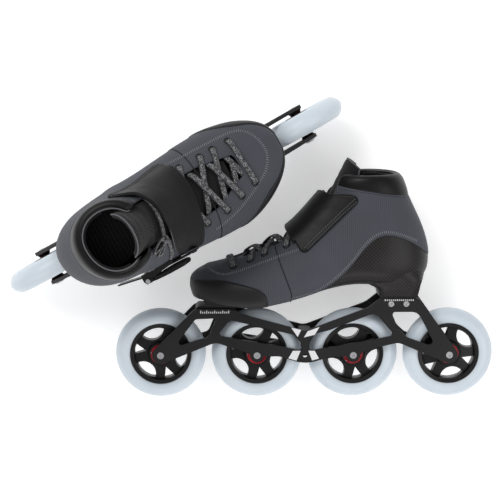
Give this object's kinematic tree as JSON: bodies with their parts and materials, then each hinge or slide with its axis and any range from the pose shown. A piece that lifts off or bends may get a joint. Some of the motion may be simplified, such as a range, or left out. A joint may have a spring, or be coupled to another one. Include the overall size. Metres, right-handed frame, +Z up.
{
  "type": "inline skates",
  "caption": "Pair of low cut inline skates for speed: laced boot with ankle strap and ratchet buckle on a twin rail frame with large free turning wheels in one row.",
  "frame": {"origin": "on the floor, under the middle of the pair's box", "axes": "+X along the pair's longest side, to the right seen from above; +Y away from the frame of the lying skate, towards its collar; +Z up"},
  "size_m": [0.5371, 0.3336, 0.263],
  "materials": {
    "carbon_shell": "dark woven composite, satin",
    "toe_rubber": "smooth black rubber",
    "upper_microfibre": "slate grey ribbed microfibre",
    "liner_mesh": "black padded mesh",
    "tongue_mesh": "black padded mesh",
    "lace_cord": "grey and black woven lace",
    "eyelet_black": "black lacquered ring",
    "strap_leather": "smooth black synthetic leather",
    "ladder_nylon": "black nylon",
    "buckle_nylon": "black glass filled nylon",
    "pin_steel": "bright steel",
    "rail_aluminium": "black anodised, matt",
    "axle_steel": "bright steel",
    "bearing_steel": "ground steel",
    "wheel_urethane": "cast urethane, milky white",
    "hub_nylon": "black glass filled nylon",
    "bearing_body": "steel with dark red shields"
  },
  "bodies": {
    "lying_skate": {"lying_boot_shell": "carbon_shell", "lying_toe_cap": "toe_rubber", "lying_upper": "upper_microfibre", "lying_liner": "liner_mesh", "lying_laces": "lace_cord", "lying_eyelets": "eyelet_black", "lying_buckle_base": "buckle_nylon", "lying_buckle_pins": "pin_steel", "lying_frame_inner_rail": "rail_aluminium", "lying_frame_outer_rail": "rail_aluminium", "lying_mount_blocks": "rail_aluminium", "lying_frame_screws": "axle_steel", "lying_axles": "axle_steel", "lying_bearing_inner_rings": "bearing_steel"},
    "lying_strap": {"lying_strap": "strap_leather", "lying_ladder_strap": "ladder_nylon"},
    "lying_buckle_lever": {"lying_buckle_lever": "buckle_nylon"},
    "lying_tongue": {"lying_tongue": "tongue_mesh"},
    "lying_wheel_1": {"lying_wheel_1_tyre": "wheel_urethane", "lying_wheel_1_hub": "hub_nylon", "lying_wheel_1_bearings": "bearing_body"},
    "lying_wheel_2": {"lying_wheel_2_tyre": "wheel_urethane", "lying_wheel_2_hub": "hub_nylon", "lying_wheel_2_bearings": "bearing_body"},
    "lying_wheel_3": {"lying_wheel_3_tyre": "wheel_urethane", "lying_wheel_3_hub": "hub_nylon", "lying_wheel_3_bearings": "bearing_body"},
    "lying_wheel_4": {"lying_wheel_4_tyre": "wheel_urethane", "lying_wheel_4_hub": "hub_nylon", "lying_wheel_4_bearings": "bearing_body"},
    "standing_skate": {"standing_boot_shell": "carbon_shell", "standing_toe_cap": "toe_rubber", "standing_upper": "upper_microfibre", "standing_liner": "liner_mesh", "standing_laces": "lace_cord", "standing_eyelets": "eyelet_black", "standing_buckle_base": "buckle_nylon", "standing_buckle_pins": "pin_steel", "standing_frame_inner_rail": "rail_aluminium", "standing_frame_outer_rail": "rail_aluminium", "standing_mount_blocks": "rail_aluminium", "standing_frame_screws": "axle_steel", "standing_axles": "axle_steel", "standing_bearing_inner_rings": "bearing_steel"},
    "standing_strap": {"standing_strap": "strap_leather", "standing_ladder_strap": "ladder_nylon"},
    "standing_buckle_lever": {"standing_buckle_lever": "buckle_nylon"},
    "standing_tongue": {"standing_tongue": "tongue_mesh"},
    "standing_wheel_1": {"standing_wheel_1_tyre": "wheel_urethane", "standing_wheel_1_hub": "hub_nylon", "standing_wheel_1_bearings": "bearing_body"},
    "standing_wheel_2": {"standing_wheel_2_tyre": "wheel_urethane", "standing_wheel_2_hub": "hub_nylon", "standing_wheel_2_bearings": "bearing_body"},
    "standing_wheel_3": {"standing_wheel_3_tyre": "wheel_urethane", "standing_wheel_3_hub": "hub_nylon", "standing_wheel_3_bearings": "bearing_body"},
    "standing_wheel_4": {"standing_wheel_4_tyre": "wheel_urethane", "standing_wheel_4_hub": "hub_nylon", "standing_wheel_4_bearings": "bearing_body"}
  },
  "joints": [
    {"name": "standing_skate_lift", "type": "slide", "parent": "lying_skate", "child": "standing_skate", "axis": [0, 0, 1], "range_m": [0, 0.3]},
    {"name": "lying_wheel_1_spin", "type": "hinge", "parent": "lying_skate", "child": "lying_wheel_1", "pos_m": [-0.10094, -0.11699, 0.05797], "axis": [0, -0.0805, 0.9968], "continuous": true},
    {"name": "lying_wheel_2_spin", "type": "hinge", "parent": "lying_skate", "child": "lying_wheel_2", "pos_m": [0.00556, -0.11699, 0.05797], "axis": [0, -0.0805, 0.9968], "continuous": true},
    {"name": "lying_wheel_3_spin", "type": "hinge", "parent": "lying_skate", "child": "lying_wheel_3", "pos_m": [0.11206, -0.11699, 0.05797], "axis": [0, -0.0805, 0.9968], "continuous": true},
    {"name": "lying_wheel_4_spin", "type": "hinge", "parent": "lying_skate", "child": "lying_wheel_4", "pos_m": [0.21856, -0.11699, 0.05797], "axis": [0, -0.0805, 0.9968], "continuous": true},
    {"name": "lying_buckle_lever_pivot", "type": "hinge", "parent": "lying_skate", "child": "lying_buckle_lever", "pos_m": [0.11963, -0.01323, 0.00395], "axis": [-0.4067, -0.9106, -0.0736], "range_deg": [0, 75], "stiffness_Nm_per_rad": 0.02, "springref_deg": -8.59},
    {"name": "lying_strap_flex", "type": "hinge", "parent": "lying_skate", "child": "lying_strap", "pos_m": [0.08892, 0.02354, 0.10907], "axis": [0.6482, 0.7614, -0.0114], "range_deg": [0, 1.8], "stiffness_Nm_per_rad": 6, "springref_deg": -6.88},
    {"name": "lying_tongue_flex", "type": "hinge", "parent": "lying_skate", "child": "lying_tongue", "pos_m": [-0.00569, -0.00934, 0.06667], "axis": [0, 0.0805, -0.9968], "range_deg": [0, 3], "stiffness_Nm_per_rad": 4, "springref_deg": -6.88},
    {"name": "standing_wheel_1_spin", "type": "hinge", "parent": "standing_skate", "child": "standing_wheel_1", "pos_m": [0.05522, 0.13619, 0.05], "axis": [-0.4894, 0.8721, 0], "continuous": true},
    {"name": "standing_wheel_2_spin", "type": "hinge", "parent": "standing_skate", "child": "standing_wheel_2", "pos_m": [-0.03765, 0.08407, 0.05], "axis": [-0.4894, 0.8721, 0], "continuous": true},
    {"name": "standing_wheel_3_spin", "type": "hinge", "parent": "standing_skate", "child": "standing_wheel_3", "pos_m": [-0.13053, 0.03195, 0.05], "axis": [-0.4894, 0.8721, 0], "continuous": true},
    {"name": "standing_wheel_4_spin", "type": "hinge", "parent": "standing_skate", "child": "standing_wheel_4", "pos_m": [-0.2234, -0.02017, 0.05], "axis": [-0.4894, 0.8721, 0], "continuous": true},
    {"name": "standing_buckle_lever_pivot", "type": "hinge", "parent": "standing_skate", "child": "standing_buckle_lever", "pos_m": [-0.10668, -0.026, 0.14907], "axis": [0.3547, 0.199, -0.9135], "range_deg": [0, 75], "stiffness_Nm_per_rad": 0.02, "springref_deg": -8.59},
    {"name": "standing_strap_flex", "type": "hinge", "parent": "standing_skate", "child": "standing_strap", "pos_m": [-0.12973, 0.07783, 0.19419], "axis": [-0.5297, -0.3806, 0.758], "range_deg": [0, 1.8], "stiffness_Nm_per_rad": 6, "springref_deg": -6.88},
    {"name": "standing_tongue_flex", "type": "hinge", "parent": "standing_skate", "child": "standing_tongue", "pos_m": [-0.02784, 0.08957, 0.158], "axis": [0.4894, -0.8721, 0], "range_deg": [0, 3], "stiffness_Nm_per_rad": 4, "springref_deg": -6.88}
  ]
}
